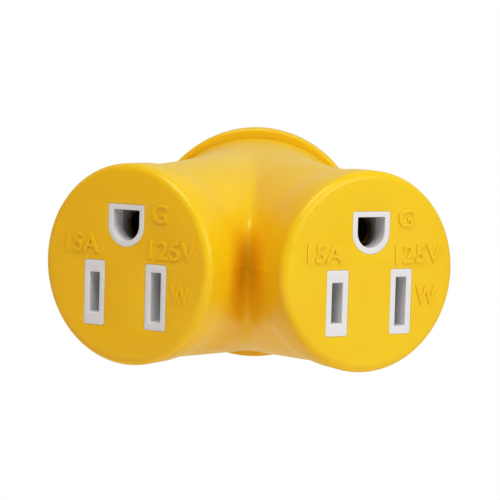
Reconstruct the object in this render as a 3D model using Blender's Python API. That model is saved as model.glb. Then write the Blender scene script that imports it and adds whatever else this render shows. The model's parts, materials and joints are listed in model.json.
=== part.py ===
"""Y power adapter: one grounded plug behind, two grounded sockets in front.

World frame: the origin is the centre of the plug's seating face, +Y is the way the
plug goes in, +Z is the ground-pin side, and the two socket faces look towards -Y.
Everything is in metres.
"""
import math

import bmesh
import bpy
from mathutils import Matrix, Vector

MM = 0.001
GAP = 0.3 * MM                      # air kept between neighbouring solids

# Whole adapter
FACE_TILT = math.radians(31.0)      # each socket face turned out from the plug axis
FACE_SPREAD = 20.75 * MM            # socket centre from the middle plane
FACE_REACH = 64.5 * MM              # socket centres in front of the seating face

# Socket heads and arms of the body
HEAD_EDGE = 1.5 * MM                # rounding between face and rim
HEAD_LENGTH = 5.6 * MM              # straight rim behind the face
ARM_STEP = 0.4 * MM                 # the arm is this much slimmer than the head
SHOULDER = 5.0 * MM                 # length of the step from head to arm
ARM_HANDLE = 14.0 * MM              # how far the arm keeps its own direction
NECK_HANDLE = 18.0 * MM             # how far the neck keeps the plug's direction
NECK_RADIUS = 20.3 * MM             # body where it meets the plug cap
NECK_OFFSET = 0.4 * MM              # each arm's centre from the middle, at the cap
FORK_FILLET = 1.0 * MM              # softness at the bottom of the valley between the arms
FORK_SLOT = 1.4 * MM                # from here inwards the valley's walls are steeper
FORK_STEEPER = 3.0                  # by this factor
FORK_FADE = 9.5 * MM               # and this far up and down
FACE_WALL = 2.6 * MM
ARM_WALL = 2.53 * MM
NECK_BORE = 16.0 * MM               # chamber in the neck
NECK_OVERLAP = 4.0 * MM             # neck chamber past the crossing of the arm axes

# Plug cap, an oval flange with a round spigot inside the neck
CAP_HALF_WIDTH = 21.35 * MM
CAP_HALF_HEIGHT = 22.25 * MM
CAP_DEPTH = 10.0 * MM
CAP_EDGE = 1.6 * MM
CAP_WALL = 3.5 * MM                 # thickness at the seating face
SPIGOT_RADIUS = 17.6 * MM
SPIGOT_WALL = 2.0 * MM
SPIGOT_LENGTH = 6.2 * MM

# Grounded 15 A pattern, the same for sockets and plug
BLADE_PITCH = 12.7 * MM             # hot to neutral
GROUND_RISE = 11.9 * MM             # blade line to ground centre
BLADE_DROP = 5.1 * MM               # blade line below the centre
BLADE_THICKNESS = 1.52 * MM
BLADE_HEIGHT = 6.35 * MM
BLADE_LENGTH = 17.5 * MM
BLADE_HOLE = 3.2 * MM               # diameter of the hole near the tip
BLADE_HOLE_REACH = 11.9 * MM
PIN_RADIUS = 2.4 * MM
PIN_LENGTH = 20.6 * MM

# Socket insert
SLOT_WIDTH = 2.1 * MM
HOT_SLOT = 6.9 * MM
NEUTRAL_SLOT = 8.4 * MM
GROUND_HOLE = 5.4 * MM
BOSS_WIDTH = 4.3 * MM
BOSS_HEIGHT = 11.2 * MM
BOSS_CORNER = 0.5 * MM
GROUND_BOSS = 7.5 * MM
FLANGE_RIM = 0.3 * MM               # round flange outside the bosses' corners
FLANGE_DEPTH = 4.0 * MM
INSERT_DEPTH = 17.0 * MM            # whole carrier behind the face wall
BLOCK_WALL = 1.0 * MM               # round the contact pockets
BLOCK_CORNER = 3.0 * MM
POCKET_START = 2.0 * MM             # solid left in front of the contact pockets
COVER_DEPTH = 1.8 * MM

# Contacts
CONTACT_WALL = 0.6 * MM
CONTACT_WIDTH = 4.0 * MM
CONTACT_LENGTH = 14.2 * MM          # deeper than the blades reach
HOT_CONTACT = 6.4 * MM              # height of the leaves
NEUTRAL_CONTACT = 7.4 * MM
GROUND_CONTACT_RADIUS = 3.2 * MM
BARREL_RADIUS = 2.0 * MM
BARREL_WALL = 0.5 * MM
BARREL_LENGTH = 3.2 * MM
TAIL_LENGTH = 1.6 * MM              # strip from the contact to the barrel

# Plug inside
PAD_CORNER = 3.0 * MM
PAD_MARGIN = 3.0 * MM               # pad edge outside the blades and pin
BRIDGE_DEPTH = 5.0 * MM
SHOULDER_HEIGHT = 8.4 * MM          # wide root of each blade, behind the bridge
SHOULDER_DEPTH = 2.2 * MM
RETAINER_DEPTH = 2.2 * MM
TAIL_HEIGHT = 2.6 * MM
BLADE_TAIL = 6.0 * MM

# Wiring
WIRE_RADIUS = 1.1 * MM
WIRE_INSET = 1.8 * MM               # wire end inside its barrel
SPLICE_RADIUS = 3.2 * MM
SPLICE_WALL = 0.45 * MM
SPLICE_LENGTH = 7.0 * MM
SPLICE_GRIP = 2.6 * MM              # blade tail and wires inside the splice

RING_SIDES = 56
SIDES = {"left": -1, "right": 1}

# Worked out from the sizes above
CAP_FRONT = -CAP_DEPTH
BODY_END = CAP_FRONT - GAP
BOSS_REACH = math.hypot((BLADE_PITCH + BOSS_WIDTH) / 2, BLADE_DROP + BOSS_HEIGHT / 2)
CARRIER_RADIUS = BOSS_REACH + FLANGE_RIM
BORE_RADIUS = CARRIER_RADIUS + GAP
ARM_RADIUS = BORE_RADIUS + ARM_WALL
HEAD_RADIUS = ARM_RADIUS + ARM_STEP
AXES_CROSS = -FACE_REACH + FACE_SPREAD / math.tan(FACE_TILT)
CARRIER_FRONT = FACE_WALL + GAP
CARRIER_BACK = CARRIER_FRONT + INSERT_DEPTH
CONTACT_FRONT = CARRIER_FRONT + POCKET_START + GAP
CONTACT_BACK = CONTACT_FRONT + CONTACT_LENGTH
COVER_FRONT = CARRIER_BACK + GAP
COVER_BACK = COVER_FRONT + COVER_DEPTH
BARREL_FRONT = CONTACT_BACK + TAIL_LENGTH
BARREL_BACK = BARREL_FRONT + BARREL_LENGTH
GROUND_UP = GROUND_RISE - BLADE_DROP
POLES = {
    "hot": (-BLADE_PITCH / 2, -BLADE_DROP),
    "neutral": (BLADE_PITCH / 2, -BLADE_DROP),
    "ground": (0.0, GROUND_UP),
}
CAP_BORE = SPIGOT_RADIUS - SPIGOT_WALL
BRIDGE_BACK = -(CAP_WALL + GAP)
BRIDGE_FRONT = BRIDGE_BACK - BRIDGE_DEPTH
BLADE_ROOT = BRIDGE_FRONT - GAP
SHOULDER_FRONT = BLADE_ROOT - SHOULDER_DEPTH
RETAINER_BACK = SHOULDER_FRONT - GAP
RETAINER_FRONT = RETAINER_BACK - RETAINER_DEPTH
TAIL_END = RETAINER_FRONT - BLADE_TAIL
SPLICE_BACK = TAIL_END + SPLICE_GRIP
SPLICE_FRONT = SPLICE_BACK - SPLICE_LENGTH


def clear_scene():
    """Remove whatever the file holds."""
    for obj in list(bpy.data.objects):
        bpy.data.objects.remove(obj, do_unlink=True)


def make_material(name, colour, roughness, metallic=0.0):
    """Return a Principled material with one colour."""
    material = bpy.data.materials.new(name)
    material.use_nodes = True
    shader = material.node_tree.nodes["Principled BSDF"]
    shader.inputs["Base Color"].default_value = (*colour, 1.0)
    shader.inputs["Roughness"].default_value = roughness
    shader.inputs["Metallic"].default_value = metallic
    return material


def finish(name, bm, material, parent=None):
    """Turn a bmesh into a smooth-shaded object, under a socket frame if given."""
    bmesh.ops.recalc_face_normals(bm, faces=bm.faces)
    mesh = bpy.data.meshes.new(name)
    bm.to_mesh(mesh)
    bm.free()
    mesh.shade_smooth()
    mesh.set_sharp_from_angle(angle=math.radians(35))
    if material:
        mesh.materials.append(material)
    obj = bpy.data.objects.new(name, mesh)
    bpy.context.scene.collection.objects.link(obj)
    obj.parent = parent
    return obj


def combine(target, tool, operation):
    """Cut a tool out of a target, or join it on, and hide the tool."""
    tool.hide_render = True
    tool.display_type = "WIRE"
    modifier = target.modifiers.new(tool.name, "BOOLEAN")
    modifier.operation = operation
    modifier.object = tool


def cut(target, tool):
    """Cut a tool out of a target."""
    combine(target, tool, "DIFFERENCE")


def join(target, tool):
    """Join a tool onto a target."""
    combine(target, tool, "UNION")


def prism(outline, front, back):
    """Return a bmesh of an (x, z) outline carried along Y from front to back."""
    bm = bmesh.new()
    face = bm.faces.new([bm.verts.new((x, front, z)) for x, z in outline])
    grown = bmesh.ops.extrude_face_region(bm, geom=[face])
    moved = [item for item in grown["geom"] if isinstance(item, bmesh.types.BMVert)]
    bmesh.ops.translate(bm, verts=moved, vec=(0.0, back - front, 0.0))
    return bm


def disc(radius, front, back, centre=(0.0, 0.0), sides=RING_SIDES):
    """Return a bmesh of a round plate or rod along Y."""
    turns = [2 * math.pi * step / sides for step in range(sides)]
    outline = [(centre[0] + radius * math.cos(a), centre[1] + radius * math.sin(a)) for a in turns]
    return prism(outline, front, back)


def rounded_outline(width, height, corner, centre=(0.0, 0.0), steps=4):
    """Return the points of a rectangle with round corners."""
    points = []
    for quarter, (sx, sz) in enumerate(((1, 1), (-1, 1), (-1, -1), (1, -1))):
        for step in range(steps + 1):
            angle = math.pi / 2 * (quarter + step / steps)
            x = sx * (width / 2 - corner) + corner * math.cos(angle)
            z = sz * (height / 2 - corner) + corner * math.sin(angle)
            points.append((centre[0] + x, centre[1] + z))
    return points


def arch_outline(width, centre, steps=16):
    """Return a ground outline: flat on top, straight sides, half round below."""
    half = width / 2
    top = 0.94 * half
    points = [(centre[0] + half, centre[1] + top), (centre[0] - half, centre[1] + top)]
    for step in range(steps + 1):
        angle = math.pi + math.pi * step / steps
        points.append((centre[0] + half * math.cos(angle), centre[1] + half * math.sin(angle)))
    return points


def ring(bm, centre, along, radius, sides=RING_SIDES):
    """Add a ring of vertices across a horizontal direction and return it."""
    across = Vector((along.y, -along.x, 0.0))
    up = Vector((0.0, 0.0, 1.0))
    verts = []
    for step in range(sides):
        angle = 2 * math.pi * step / sides
        spoke = across * math.cos(angle) + up * math.sin(angle)
        verts.append(bm.verts.new(centre + spoke * radius))
    return verts


def bezier(points, t):
    """Return the point and unit direction of a cubic curve."""
    a, b, c, d = points
    place = a * (1 - t) ** 3 + b * 3 * t * (1 - t) ** 2 + c * 3 * t * t * (1 - t) + d * t ** 3
    slope = (b - a) * (1 - t) ** 2 + (c - b) * 2 * t * (1 - t) + (d - c) * t * t
    return place, slope.normalized()


def arm_stations():
    """Yield (centre, direction, radius) along the right arm, from face to cap."""
    inward = Vector((-math.sin(FACE_TILT), math.cos(FACE_TILT), 0.0))
    face = Vector((FACE_SPREAD, -FACE_REACH, 0.0))
    for step in range(5):
        angle = math.pi / 2 * step / 4
        depth = HEAD_EDGE * (1 - math.cos(angle))
        yield face + inward * depth, inward, HEAD_RADIUS - HEAD_EDGE * (1 - math.sin(angle))
    for step in range(5):
        share = step / 4
        drop = ARM_STEP * (1 - math.cos(math.pi * share)) / 2
        yield face + inward * (HEAD_LENGTH + SHOULDER * share), inward, HEAD_RADIUS - drop
    start = face + inward * (HEAD_LENGTH + SHOULDER)
    end = Vector((NECK_OFFSET, BODY_END, 0.0))
    handles = (start, start + inward * ARM_HANDLE, end - Vector((0.0, NECK_HANDLE, 0.0)), end)
    for step in range(1, 19):
        share = step / 18
        place, along = bezier(handles, share)
        swell = share * (0.55 + 0.45 * share)
        yield place, along, ARM_RADIUS + (NECK_RADIUS - ARM_RADIUS) * swell


def fork_mesh():
    """Return the body's closed outer form: two arms that meet in a soft valley."""
    bm = bmesh.new()
    rings = [ring(bm, *station) for station in arm_stations()]
    for first, second in zip(rings, rings[1:]):
        for step in range(RING_SIDES):
            follow = (step + 1) % RING_SIDES
            bm.faces.new((first[step], first[follow], second[follow], second[step]))
    bm.faces.new(rings[0])
    bm.faces.new(rings[-1])
    lines = [FORK_SLOT, FORK_FILLET]
    lines += [FORK_FILLET * (1 + (share / 4) ** 2) / 2 for share in (3, 2, 1, 0)]
    for line in lines:
        bmesh.ops.bisect_plane(
            bm, geom=bm.verts[:] + bm.edges[:] + bm.faces[:], plane_co=(line, 0.0, 0.0),
            plane_no=(-1.0, 0.0, 0.0), clear_outer=line == lines[-1])
    deeper = (FORK_STEEPER - 1) / math.tan(FACE_TILT)
    for vert in bm.verts:
        if vert.co.x < FORK_SLOT:
            fade = max(1 - (vert.co.z / FORK_FADE) ** 2, 0.0) ** 2
            vert.co.y += deeper * fade * (FORK_SLOT - vert.co.x)
        if vert.co.x < FORK_FILLET:
            reach = 2 * FORK_FILLET * vert.co.x - FORK_FILLET * FORK_FILLET
            vert.co.x = math.sqrt(max(reach, 0.0))
    whole = bm.verts[:] + bm.edges[:] + bm.faces[:]
    bmesh.ops.mirror(bm, geom=whole, axis="X", merge_dist=0.01 * MM)
    return bm


def socket_frame(side):
    """Return an empty whose +Y runs into the socket and whose +Z is up."""
    empty = bpy.data.objects.new(f"{side}_socket_frame", None)
    bpy.context.scene.collection.objects.link(empty)
    sign = SIDES[side]
    place = Matrix.Translation((sign * FACE_SPREAD, -FACE_REACH, 0.0))
    empty.matrix_world = place @ Matrix.Rotation(sign * FACE_TILT, 4, "Z")
    return empty


def boss_outline(pole, margin=0.0):
    """Return the outline of a boss on the insert, grown by a margin."""
    x, z = POLES[pole]
    if pole == "ground":
        return arch_outline(GROUND_BOSS + 2 * margin, (x, z))
    return rounded_outline(BOSS_WIDTH + 2 * margin, BOSS_HEIGHT + 2 * margin, BOSS_CORNER, (x, z))


def build_body(material, frames):
    """Build the forked body with its chambers and the windows in both faces."""
    body = finish("y_body", fork_mesh(), material)
    for side, frame in frames.items():
        chamber = disc(BORE_RADIUS, FACE_WALL, FACE_SPREAD / math.sin(FACE_TILT))
        cut(body, finish(f"{side}_chamber", chamber, None, frame))
        for pole in POLES:
            window = prism(boss_outline(pole, GAP), -MM, FACE_WALL + MM)
            cut(body, finish(f"{side}_{pole}_window", window, None, frame))
    spigot_end = CAP_FRONT - SPIGOT_LENGTH - GAP
    chamber = disc(NECK_BORE, AXES_CROSS - NECK_OVERLAP, spigot_end + MM)
    cut(body, finish("neck_chamber", chamber, None))
    cut(body, finish("spigot_bore", disc(SPIGOT_RADIUS + GAP, spigot_end, CAP_FRONT + MM), None))


def block_outline():
    """Return the outline of the insert behind its flange, round all three pockets."""
    wide = BLADE_PITCH + CONTACT_WIDTH + 2 * (GAP + BLOCK_WALL)
    low = -BLADE_DROP - NEUTRAL_CONTACT / 2 - GAP - BLOCK_WALL
    high = GROUND_UP + GROUND_CONTACT_RADIUS + GAP + BLOCK_WALL
    return rounded_outline(wide, high - low, BLOCK_CORNER, (0.0, (high + low) / 2))


def build_carrier(side, frame, material):
    """Build the insert that shows as three bosses in the face and holds the contacts."""
    flange_back = CARRIER_FRONT + FLANGE_DEPTH
    flange = disc(CARRIER_RADIUS, CARRIER_FRONT, flange_back)
    carrier = finish(f"{side}_socket_carrier", flange, material, frame)
    block = prism(block_outline(), flange_back - MM, CARRIER_BACK)
    join(carrier, finish(f"{side}_carrier_block", block, None, frame))
    for pole, (x, z) in POLES.items():
        boss = prism(boss_outline(pole), 0.0, CARRIER_FRONT + MM)
        join(carrier, finish(f"{side}_{pole}_boss", boss, None, frame))
        height = {"hot": HOT_SLOT, "neutral": NEUTRAL_SLOT, "ground": GROUND_HOLE}[pole]
        if pole == "ground":
            slot = arch_outline(GROUND_HOLE, (x, z))
            room = disc(GROUND_CONTACT_RADIUS + GAP, CONTACT_FRONT - GAP, CARRIER_BACK + MM, (x, z), 28)
        else:
            slot = rounded_outline(SLOT_WIDTH, height, 0.15 * MM, (x, z))
            leaf = HOT_CONTACT if pole == "hot" else NEUTRAL_CONTACT
            tall = leaf + 2 * GAP
            wide = CONTACT_WIDTH + 2 * GAP
            pocket = rounded_outline(wide, tall, 0.3 * MM, (x, z))
            room = prism(pocket, CONTACT_FRONT - GAP, CARRIER_BACK + MM)
        cut(carrier, finish(f"{side}_{pole}_slot", prism(slot, -MM, CONTACT_FRONT), None, frame))
        cut(carrier, finish(f"{side}_{pole}_pocket", room, None, frame))


def build_cover(side, frame, material):
    """Build the plate that closes the contact pockets, with a hole for each tail."""
    plate = prism(block_outline(), COVER_FRONT, COVER_BACK)
    cover = finish(f"{side}_contact_cover", plate, material, frame)
    for pole, centre in POLES.items():
        tail = GROUND_CONTACT_RADIUS if pole == "ground" else BARREL_RADIUS
        hole = disc(tail + GAP, COVER_FRONT - MM, COVER_BACK + MM, centre, 20)
        cut(cover, finish(f"{side}_{pole}_tail_hole", hole, None, frame))


def clip_outline(centre):
    """Return the folded clip seen from above: two sprung leaves on a closed back."""
    half = CONTACT_WIDTH / 2
    grip = BLADE_THICKNESS / 2
    wall = CONTACT_WALL
    front = CONTACT_FRONT
    back = CONTACT_BACK
    throat = front + 0.25 * CONTACT_LENGTH
    outer = [(half, front), (grip + wall, throat), (half, back - 3 * wall), (half, back)]
    inner = [(half - wall, back - wall), (half - wall, back - 3 * wall), (grip, throat),
             (half - wall, front)]
    loop = outer + [(-x, y) for x, y in reversed(outer)]
    loop += [(-x, y) for x, y in reversed(inner)] + inner
    return [(centre + x, y) for x, y in loop]


def build_blade_contact(side, pole, frame, material):
    """Build a folded brass clip with its strip and wire barrel."""
    x, z = POLES[pole]
    leaf = HOT_CONTACT if pole == "hot" else NEUTRAL_CONTACT
    bm = bmesh.new()
    face = bm.faces.new([bm.verts.new((a, y, z - leaf / 2)) for a, y in clip_outline(x)])
    grown = bmesh.ops.extrude_face_region(bm, geom=[face])
    moved = [item for item in grown["geom"] if isinstance(item, bmesh.types.BMVert)]
    bmesh.ops.translate(bm, verts=moved, vec=(0.0, 0.0, leaf))
    contact = finish(f"{side}_{pole}_contact", bm, material, frame)
    add_barrel(contact, side, pole, frame)


def build_ground_contact(side, frame, material):
    """Build the ground contact: a split sleeve with its strip and wire barrel."""
    x, z = POLES["ground"]
    outer = GROUND_CONTACT_RADIUS
    inner = outer - CONTACT_WALL
    opening = math.radians(24)
    steps = 20
    turns = [opening + (2 * math.pi - 2 * opening) * step / steps + math.pi / 2
             for step in range(steps + 1)]
    outline = [(x + outer * math.cos(a), z + outer * math.sin(a)) for a in turns]
    outline += [(x + inner * math.cos(a), z + inner * math.sin(a)) for a in reversed(turns)]
    sleeve = prism(outline, CONTACT_FRONT, CONTACT_BACK)
    contact = finish(f"{side}_ground_contact", sleeve, material, frame)
    add_barrel(contact, side, "ground", frame)


def add_barrel(contact, side, pole, frame):
    """Join the strip and the hollow wire barrel onto the back of a contact."""
    x, z = POLES[pole]
    centre = (x, z)
    low = GROUND_CONTACT_RADIUS if pole == "ground" else BARREL_RADIUS
    high = BARREL_RADIUS - BARREL_WALL / 2
    strip = rounded_outline(1.6 * MM, low - high, 0.05 * MM, (x, z - (low + high) / 2))
    tail = prism(strip, CONTACT_BACK - CONTACT_WALL / 2, BARREL_FRONT + MM)
    join(contact, finish(f"{side}_{pole}_strip", tail, None, frame))
    barrel = finish(f"{side}_{pole}_barrel", disc(BARREL_RADIUS, BARREL_FRONT, BARREL_BACK, centre, 20),
                    None, frame)
    hollow = disc(BARREL_RADIUS - BARREL_WALL, BARREL_FRONT - MM, BARREL_BACK + MM, centre, 20)
    cut(barrel, finish(f"{side}_{pole}_barrel_bore", hollow, None, frame))
    join(contact, barrel)


def pad_outline(margin=0.0):
    """Return the outline of the flat pad round the blades and the pin."""
    reach = PAD_MARGIN + margin
    half = BLADE_PITCH / 2 + BLADE_THICKNESS / 2 + reach
    low = -BLADE_DROP - BLADE_HEIGHT / 2 - reach
    shoulder = -BLADE_DROP + BLADE_HEIGHT / 2 + 0.5 * reach
    top_radius = PIN_RADIUS + reach
    corner = PAD_CORNER + margin
    points = []
    for step in range(9):
        angle = math.radians(20) + math.radians(140) * step / 8
        points.append((top_radius * math.cos(angle), GROUND_UP + top_radius * math.sin(angle)))
    for sign, first in ((-1, 90), (-1, 180), (1, 270), (1, 0)):
        level = shoulder - corner if first in (90, 0) else low + corner
        for step in range(5):
            angle = math.radians(first + 90 * step / 4)
            points.append((sign * (half - corner) + corner * math.cos(angle),
                           level + corner * math.sin(angle)))
    return points


def oval_outline(inset, sides=64):
    """Return the cap's oval, drawn in by an inset."""
    turns = [2 * math.pi * step / sides for step in range(sides)]
    wide = CAP_HALF_WIDTH - inset
    tall = CAP_HALF_HEIGHT - inset
    return [(wide * math.cos(a), tall * math.sin(a)) for a in turns]


def cap_mesh():
    """Return the oval flange with both its edges rounded."""
    bm = bmesh.new()
    levels = []
    for step in range(5):
        angle = math.pi / 2 * step / 4
        levels.append((CAP_EDGE * (1 - math.sin(angle)), CAP_FRONT + CAP_EDGE * (1 - math.cos(angle))))
    for step in range(5):
        angle = math.pi / 2 * step / 4
        levels.append((CAP_EDGE * (1 - math.cos(angle)), -CAP_EDGE * (1 - math.sin(angle))))
    loops = [[bm.verts.new((x, y, z)) for x, z in oval_outline(inset)] for inset, y in levels]
    count = len(loops[0])
    for first, second in zip(loops, loops[1:]):
        for step in range(count):
            follow = (step + 1) % count
            bm.faces.new((first[step], first[follow], second[follow], second[step]))
    bm.faces.new(loops[0])
    bm.faces.new(loops[-1])
    return bm


def build_cap(material):
    """Build the plug cap: oval flange, spigot, chamber and pad window."""
    cap = finish("plug_cap", cap_mesh(), material)
    spigot = disc(SPIGOT_RADIUS, CAP_FRONT - SPIGOT_LENGTH, CAP_FRONT + CAP_EDGE)
    join(cap, finish("cap_spigot", spigot, None))
    chamber = disc(CAP_BORE, CAP_FRONT - SPIGOT_LENGTH - MM, -CAP_WALL)
    cut(cap, finish("cap_chamber", chamber, None))
    cut(cap, finish("pad_window", prism(pad_outline(GAP), -CAP_WALL - MM, MM), None))


def build_bridge(material):
    """Build the insulating bridge whose pad shows in the cap, with slots for the poles."""
    bridge = finish("plug_bridge", disc(CAP_BORE - GAP, BRIDGE_FRONT, BRIDGE_BACK), material)
    join(bridge, finish("bridge_pad", prism(pad_outline(), BRIDGE_BACK - MM, 0.0), None))
    for pole in POLES:
        hole = pole_outline(pole, GAP)
        cut(bridge, finish(f"bridge_{pole}_slot", prism(hole, BRIDGE_FRONT - MM, MM), None))


def pole_outline(pole, margin=0.0):
    """Return the section of a blade or the pin, grown by a margin."""
    x, z = POLES[pole]
    if pole == "ground":
        radius = PIN_RADIUS + margin
        turns = [2 * math.pi * step / 28 for step in range(28)]
        return [(x + radius * math.cos(a), z + radius * math.sin(a)) for a in turns]
    return rounded_outline(BLADE_THICKNESS + 2 * margin, BLADE_HEIGHT + 2 * margin, 0.2 * MM, (x, z), 2)


def build_retainer(material):
    """Build the plate that locks the blades' shoulders behind the bridge."""
    plate = finish("blade_retainer", disc(CAP_BORE - GAP, RETAINER_FRONT, RETAINER_BACK), material)
    for pole, centre in POLES.items():
        wide = BLADE_THICKNESS + 2 * GAP
        hole = rounded_outline(wide, TAIL_HEIGHT + 2 * GAP, 0.2 * MM, centre)
        cut(plate, finish(f"retainer_{pole}_slot", prism(hole, RETAINER_FRONT - MM, RETAINER_BACK + MM), None))


def blade_mesh(pole):
    """Return a flat blade with a chamfered tip."""
    bm = prism(pole_outline(pole), BLADE_ROOT - MM, BLADE_LENGTH)
    tip = [edge for edge in bm.edges if all(vert.co.y > BLADE_LENGTH - 0.1 * MM for vert in edge.verts)]
    bmesh.ops.bevel(bm, geom=tip, offset=0.5 * MM, affect="EDGES", segments=2, profile=0.5, material=-1)
    return bm


def add_root(obj, pole):
    """Join a blade's or pin's shoulder and tail onto it."""
    centre = POLES[pole]
    wide = BLADE_THICKNESS
    root = rounded_outline(wide, SHOULDER_HEIGHT, 0.2 * MM, centre, 2)
    join(obj, finish(f"{pole}_shoulder", prism(root, SHOULDER_FRONT, BLADE_ROOT), None))
    tail = rounded_outline(wide, TAIL_HEIGHT, 0.2 * MM, centre, 2)
    join(obj, finish(f"{pole}_tail", prism(tail, TAIL_END, SHOULDER_FRONT + MM), None))


def build_blade(pole, material):
    """Build one of the two blades with the hole near its tip."""
    blade = finish(f"{pole}_blade", blade_mesh(pole), material)
    add_root(blade, pole)
    x, z = POLES[pole]
    hole = disc(BLADE_HOLE / 2, x - 2 * MM, x + 2 * MM, (-BLADE_HOLE_REACH, z), 24)
    drill = finish(f"{pole}_hole", hole, None)
    drill.rotation_euler.z = -math.pi / 2
    cut(blade, drill)


def build_pin(material):
    """Build the round ground pin with its domed tip."""
    x, z = POLES["ground"]
    profile = [(0.0, BLADE_ROOT - MM), (PIN_RADIUS, BLADE_ROOT - MM)]
    straight = PIN_LENGTH - PIN_RADIUS
    for step in range(7):
        angle = math.pi / 2 * step / 6
        profile.append((PIN_RADIUS * math.cos(angle), straight + PIN_RADIUS * math.sin(angle)))
    bm = bmesh.new()
    verts = [bm.verts.new((x + radius, y, z)) for radius, y in profile]
    edges = [bm.edges.new(pair) for pair in zip(verts, verts[1:])]
    bmesh.ops.spin(bm, geom=verts + edges, cent=(x, 0.0, z), axis=(0.0, 1.0, 0.0),
                   angle=2 * math.pi, steps=28, use_merge=True)
    bmesh.ops.remove_doubles(bm, verts=bm.verts, dist=0.001 * MM)
    pin = finish("ground_pin", bm, material)
    add_root(pin, "ground")


def build_splice(pole, material):
    """Build the crimped sleeve that joins both wires to a pole's tail."""
    centre = POLES[pole]
    sleeve = finish(f"{pole}_splice", disc(SPLICE_RADIUS, SPLICE_FRONT, SPLICE_BACK, centre, 28), material)
    bore = disc(SPLICE_RADIUS - SPLICE_WALL, SPLICE_FRONT - MM, SPLICE_BACK + MM, centre, 28)
    cut(sleeve, finish(f"{pole}_splice_bore", bore, None))


def build_wire(side, pole, frame, material):
    """Build one insulated wire from a contact's barrel to its splice."""
    sign = SIDES[side]
    x, z = POLES[pole]
    matrix = frame.matrix_world
    inward = (matrix.to_3x3() @ Vector((0.0, 1.0, 0.0))).normalized()
    start = matrix @ Vector((x, BARREL_BACK - WIRE_INSET, z))
    apart = WIRE_RADIUS + GAP / 2
    end = Vector((x + sign * apart, SPLICE_FRONT + SPLICE_GRIP, z))
    crossing = (side, pole) in (("left", "neutral"), ("right", "hot"))
    swing = Vector((0.0, 0.0, 3.6 * MM * sign)) if crossing else Vector((0.0, 0.0, 0.0))
    reach = (end - start).length / 3
    lead = WIRE_INSET + 1.0 * MM
    route = (start + inward * lead, start + inward * (lead + reach) + swing,
             end - Vector((0.0, lead + reach, 0.0)) + swing, end - Vector((0.0, lead, 0.0)))
    points = [start] + [bezier(route, step / 11)[0] for step in range(12)] + [end]
    curve = bpy.data.curves.new(f"{side}_{pole}_wire", "CURVE")
    curve.dimensions = "3D"
    curve.bevel_depth = WIRE_RADIUS
    curve.bevel_resolution = 2
    curve.use_fill_caps = True
    spline = curve.splines.new("POLY")
    spline.points.add(len(points) - 1)
    for slot, point in zip(spline.points, points):
        slot.co = (*point, 1.0)
    curve.materials.append(material)
    obj = bpy.data.objects.new(f"{side}_{pole}_wire", curve)
    bpy.context.scene.collection.objects.link(obj)


def main():
    """Build the whole adapter."""
    clear_scene()
    yellow = make_material("yellow_vinyl", (0.87, 0.46, 0.02), 0.35)
    white = make_material("white_insert", (0.62, 0.61, 0.59), 0.5)
    brass = make_material("contact_brass", (0.75, 0.55, 0.25), 0.3, 1.0)
    nickel = make_material("blade_nickel", (0.66, 0.64, 0.60), 0.25, 1.0)
    tin = make_material("tinned_copper", (0.70, 0.68, 0.66), 0.35, 1.0)
    jackets = {
        "hot": make_material("wire_black", (0.02, 0.02, 0.02), 0.5),
        "neutral": make_material("wire_white", (0.8, 0.8, 0.8), 0.5),
        "ground": make_material("wire_green", (0.02, 0.25, 0.06), 0.5),
    }
    frames = {side: socket_frame(side) for side in SIDES}
    build_body(yellow, frames)
    build_cap(yellow)
    build_bridge(white)
    build_retainer(white)
    build_blade("hot", nickel)
    build_blade("neutral", nickel)
    build_pin(nickel)
    for pole in POLES:
        build_splice(pole, tin)
    for side, frame in frames.items():
        build_carrier(side, frame, white)
        build_cover(side, frame, white)
        build_blade_contact(side, "hot", frame, brass)
        build_blade_contact(side, "neutral", frame, brass)
        build_ground_contact(side, frame, brass)
        for pole in POLES:
            build_wire(side, pole, frame, jackets[pole])


main()
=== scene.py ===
"""Looks of a Y power adapter: a grounded plug behind, two grounded sockets in front.

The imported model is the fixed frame. The pieces that show are built again here with fine
surfaces, in the places that the record's mounts and the nodes' boxes give. The contacts,
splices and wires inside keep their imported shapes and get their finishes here. The frame's
+Y is the way the plug goes in, +Z is the ground-pin side, and the sockets look towards -Y.
"""
import json
import logging
from collections.abc import Iterable, Iterator
from dataclasses import dataclass
from enum import Enum
from math import atan2, cos, pi, radians, sin, sqrt, tan

import bmesh
import bpy
from mathutils import Matrix, Vector


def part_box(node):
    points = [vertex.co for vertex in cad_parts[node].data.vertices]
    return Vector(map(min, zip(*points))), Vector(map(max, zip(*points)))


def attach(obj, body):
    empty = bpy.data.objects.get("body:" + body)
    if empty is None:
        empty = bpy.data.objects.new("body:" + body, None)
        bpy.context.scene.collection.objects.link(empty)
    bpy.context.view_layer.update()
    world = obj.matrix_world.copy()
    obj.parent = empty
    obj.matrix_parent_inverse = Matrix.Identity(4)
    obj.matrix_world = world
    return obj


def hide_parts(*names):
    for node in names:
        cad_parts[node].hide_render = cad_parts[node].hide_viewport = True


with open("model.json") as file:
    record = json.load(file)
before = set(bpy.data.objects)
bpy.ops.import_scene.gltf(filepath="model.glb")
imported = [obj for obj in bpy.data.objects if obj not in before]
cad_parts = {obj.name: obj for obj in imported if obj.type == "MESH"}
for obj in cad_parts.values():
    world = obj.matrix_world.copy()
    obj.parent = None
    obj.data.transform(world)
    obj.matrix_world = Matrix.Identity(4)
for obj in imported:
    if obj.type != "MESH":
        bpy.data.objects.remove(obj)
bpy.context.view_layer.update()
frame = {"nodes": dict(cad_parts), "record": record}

MM = 0.001
OVERLAP = 1.0 * MM  # how far cutters and joined pieces reach past a face
TINY = 0.001 * MM
EDGE_STEPS = 4  # steps of a small rounded edge
BODY = "root"
SHARP = radians(32)
UP = Vector((0.0, 0.0, 1.0))
UPRIGHT = Matrix.Rotation(pi / 2, 4, "X")
Piece = bpy.types.Object
Shape = bmesh.types.BMesh
Levels = Iterable[tuple[float, float]]  # how far an outline is grown and how deep it lies
LOG = logging.getLogger("y_power_adapter")


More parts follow.
